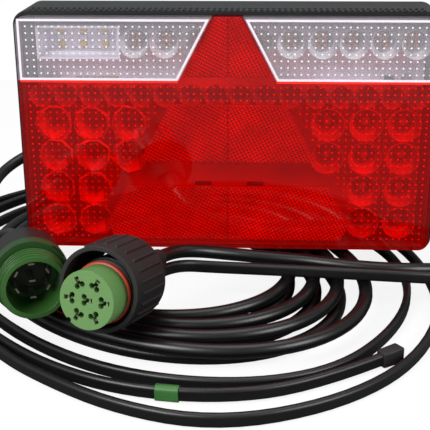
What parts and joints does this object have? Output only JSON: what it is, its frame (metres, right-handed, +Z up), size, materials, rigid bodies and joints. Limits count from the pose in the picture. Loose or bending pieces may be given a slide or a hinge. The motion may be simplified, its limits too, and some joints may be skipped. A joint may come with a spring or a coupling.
{
  "type": "trailer tail light with leads",
  "caption": "Rectangular right-hand LED trailer lamp with clear strip, red lens and triangle reflector, standing on its coiled lead with round plug, coupling and flat branch lead.",
  "frame": {"origin": "middle of the rear mounting face, halfway between the two studs", "axes": "+X to the right seen from the front, +Y to the rear out of the mounting face, +Z up; the lens looks along -Y"},
  "size_m": [0.3676, 0.3455, 0.156],
  "materials": {
    "housing_plastic": "moulded, fine satin",
    "red_lens": "clear red acrylic, glossy",
    "clear_lens": "clear acrylic, glossy",
    "seal_rubber": "moulded",
    "backing_plastic": "moulded",
    "board": "pale solder mask",
    "screw_steel": "zinc plated",
    "amber_led": "resin",
    "white_led": "phosphor resin",
    "red_led": "resin",
    "cup_plastic": "moulded, glossy",
    "reflector_metal": "metallised",
    "black_component": "moulded resin",
    "beige_component": "ceramic",
    "wire_jacket": "extruded",
    "stud_steel": "zinc plated",
    "gland_plastic": "moulded",
    "green_plastic": "moulded, satin",
    "dark_green_plastic": "moulded",
    "face_green_plastic": "moulded",
    "socket_black": "moulded",
    "pin_brass": "plated brass",
    "grey_plastic": "moulded",
    "black_plastic": "moulded",
    "boot_rubber": "moulded",
    "orange_rubber": "silicone",
    "lead_jacket": "extruded jacket, semi-gloss",
    "flat_lead_jacket": "extruded jacket"
  },
  "bodies": {
    "root": {"board_resistors": "beige_component", "board_screws": "screw_steel", "brake_cups": "cup_plastic", "brake_leds": "red_led", "branch_end_cap": "boot_rubber", "branch_lead": "flat_lead_jacket", "clear_lens": "clear_lens", "core_wires": "wire_jacket", "coupling_backshell": "black_plastic", "coupling_body": "black_plastic", "coupling_boot": "boot_rubber", "coupling_contacts": "pin_brass", "coupling_insert": "face_green_plastic", "coupling_ring": "grey_plastic", "coupling_seal": "orange_rubber", "driver_chips": "black_component", "fog_cups": "cup_plastic", "fog_leds": "red_led", "gland_locknuts": "gland_plastic", "housing": "housing_plastic", "indicator_board": "board", "indicator_cups": "clear_lens", "indicator_leds": "amber_led", "lens_seal": "seal_rubber", "link_gland_body": "gland_plastic", "link_gland_nut": "gland_plastic", "link_gland_seal": "seal_rubber", "link_lead": "lead_jacket", "marker_sleeve": "green_plastic", "mounting_studs": "stud_steel", "plug_backshell": "grey_plastic", "plug_insert": "socket_black", "plug_pins": "pin_brass", "plug_relief": "boot_rubber", "plug_ring": "dark_green_plastic", "plug_shell": "green_plastic", "red_lens": "red_lens", "reflector_backings": "backing_plastic", "reversing_leds": "white_led", "reversing_reflector": "reflector_metal", "supply_gland_body": "gland_plastic", "supply_gland_nut": "gland_plastic", "supply_gland_seal": "seal_rubber", "supply_lead_coil": "lead_jacket", "supply_lead_front": "lead_jacket", "supply_lead_tail": "lead_jacket", "tail_board": "board", "tail_cups": "cup_plastic", "tail_leds": "red_led", "terminal_blocks": "black_component", "triangle_reflectors": "red_lens", "vent_plug": "gland_plastic"},
    "nut": {"coupling_nut": "grey_plastic"}
  },
  "joints": [
    {"name": "nut_spin", "type": "hinge", "parent": "root", "child": "nut", "pos_m": [-0.0572, -0.1699, -0.043], "axis": [-0.3378, -0.9281, 0.1564], "continuous": true}
  ]
}
